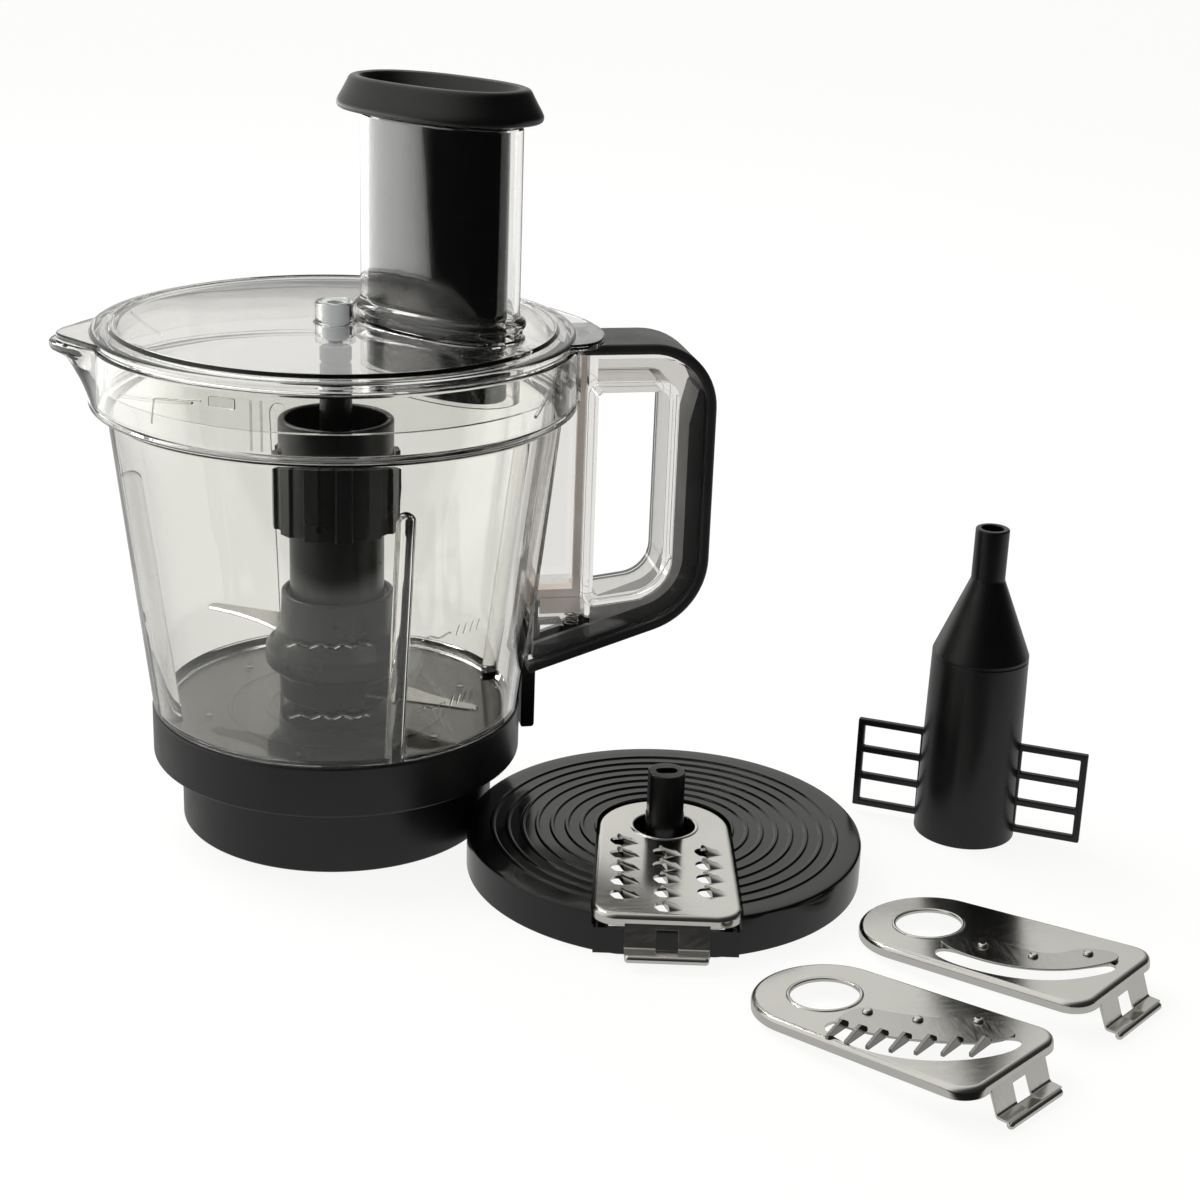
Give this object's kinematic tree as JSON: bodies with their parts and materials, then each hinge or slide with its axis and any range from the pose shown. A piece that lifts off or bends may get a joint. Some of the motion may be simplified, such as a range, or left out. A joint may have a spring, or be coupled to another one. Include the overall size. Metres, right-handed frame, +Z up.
{
  "type": "food processor",
  "caption": "Food processor bowl with drive socket, spindle knife, lid with feed chute and hollow pusher, interlocked handle, and loose disc, cutting inserts and whisk paddle laid beside it.",
  "frame": {"origin": "middle of the whole set's footprint, on the surface that it stands on", "axes": "+X towards the handle's side, where the loose tools lie, +Y away from the viewer, +Z up; the bowl's axis stands at x -0.1044, y 0.0869"},
  "size_m": [0.4406, 0.3771, 0.3205],
  "materials": {
    "clear_polycarbonate": "clear, polished mould, faint grey-beige tint",
    "satin_black_plastic": "satin moulded",
    "gloss_black_plastic": "polished mould",
    "soft_touch_black": "fine soft-touch grain",
    "polished_steel": "pressed and polished stainless steel",
    "sintered_bronze": "sintered, oiled",
    "black_rubber": "matte",
    "milky_plastic": "translucent acetal",
    "natural_plastic": "natural unpainted moulding"
  },
  "bodies": {
    "root": {"base_collar": "satin_black_plastic", "bowl": "clear_polycarbonate", "floor_gasket": "black_rubber", "shaft_bush": "sintered_bronze", "shaft_seal": "black_rubber", "handle_web": "clear_polycarbonate", "handle_grip": "soft_touch_black", "interlock_spring": "polished_steel", "base_screw_1": "polished_steel", "base_screw_2": "polished_steel", "base_screw_3": "polished_steel", "base_screw_4": "polished_steel", "base_screw_5": "polished_steel", "base_screw_6": "polished_steel"},
    "lid_bush": {"lid_bush": "milky_plastic"},
    "lid": {"lid": "clear_polycarbonate"},
    "pusher": {"pusher": "gloss_black_plastic"},
    "spindle": {"drive_coupling": "satin_black_plastic", "drive_shaft": "polished_steel", "circlip": "polished_steel", "drive_spindle": "satin_black_plastic", "knife_column": "satin_black_plastic", "blade_upper": "polished_steel", "blade_lower": "polished_steel"},
    "interlock": {"interlock_rod": "natural_plastic", "interlock_foot": "satin_black_plastic"},
    "disc": {"disc": "gloss_black_plastic", "disc_stem": "gloss_black_plastic"},
    "grater_insert": {"grater_insert": "polished_steel"},
    "slicing_insert": {"slicing_plate": "polished_steel", "slicing_blade": "polished_steel", "slicing_rivet_1": "polished_steel", "slicing_rivet_2": "polished_steel", "slicing_rivet_3": "polished_steel"},
    "julienne_insert": {"julienne_plate": "polished_steel", "julienne_comb": "polished_steel", "julienne_rivet_1": "polished_steel", "julienne_rivet_2": "polished_steel", "julienne_rivet_3": "polished_steel"},
    "paddle": {"paddle": "satin_black_plastic"}
  },
  "joints": [
    {"name": "lid_lift", "type": "slide", "parent": "root", "child": "lid_bush", "axis": [0, 0, 1], "range_m": [0, 0.12]},
    {"name": "lid_turn", "type": "hinge", "parent": "lid_bush", "child": "lid", "pos_m": [-0.1044, 0.0869, 0.219], "axis": [0, 0, 1], "range_deg": [0, 25]},
    {"name": "pusher_slide", "type": "slide", "parent": "lid", "child": "pusher", "axis": [0, 0, 1], "range_m": [0, 0.105]},
    {"name": "spindle_turn", "type": "hinge", "parent": "root", "child": "spindle", "pos_m": [-0.1044, 0.0869, 0.05], "axis": [0, 0, 1], "continuous": true},
    {"name": "interlock_slide", "type": "slide", "parent": "root", "child": "interlock", "axis": [0, 0, 1], "range_m": [0, 0.004], "deforming": ["interlock_spring"]},
    {"name": "disc_lift", "type": "slide", "parent": "root", "child": "disc", "axis": [0.2695, -0.7405, 0.6157], "range_m": [0, 0.1]},
    {"name": "grater_insert_lift", "type": "slide", "parent": "disc", "child": "grater_insert", "axis": [0, 0, 1], "range_m": [0, 0.06]},
    {"name": "slicing_insert_lift", "type": "slide", "parent": "root", "child": "slicing_insert", "axis": [0, 0, 1], "range_m": [0, 0.1]},
    {"name": "julienne_insert_lift", "type": "slide", "parent": "root", "child": "julienne_insert", "axis": [0, 0, 1], "range_m": [0, 0.1]},
    {"name": "paddle_lift", "type": "slide", "parent": "root", "child": "paddle", "axis": [0, 0, 1], "range_m": [0, 0.15]}
  ],
  "couplings": [
    {"joint": "interlock_slide", "follows": "lid_turn", "m_per_rad": 0.009166}
  ]
}
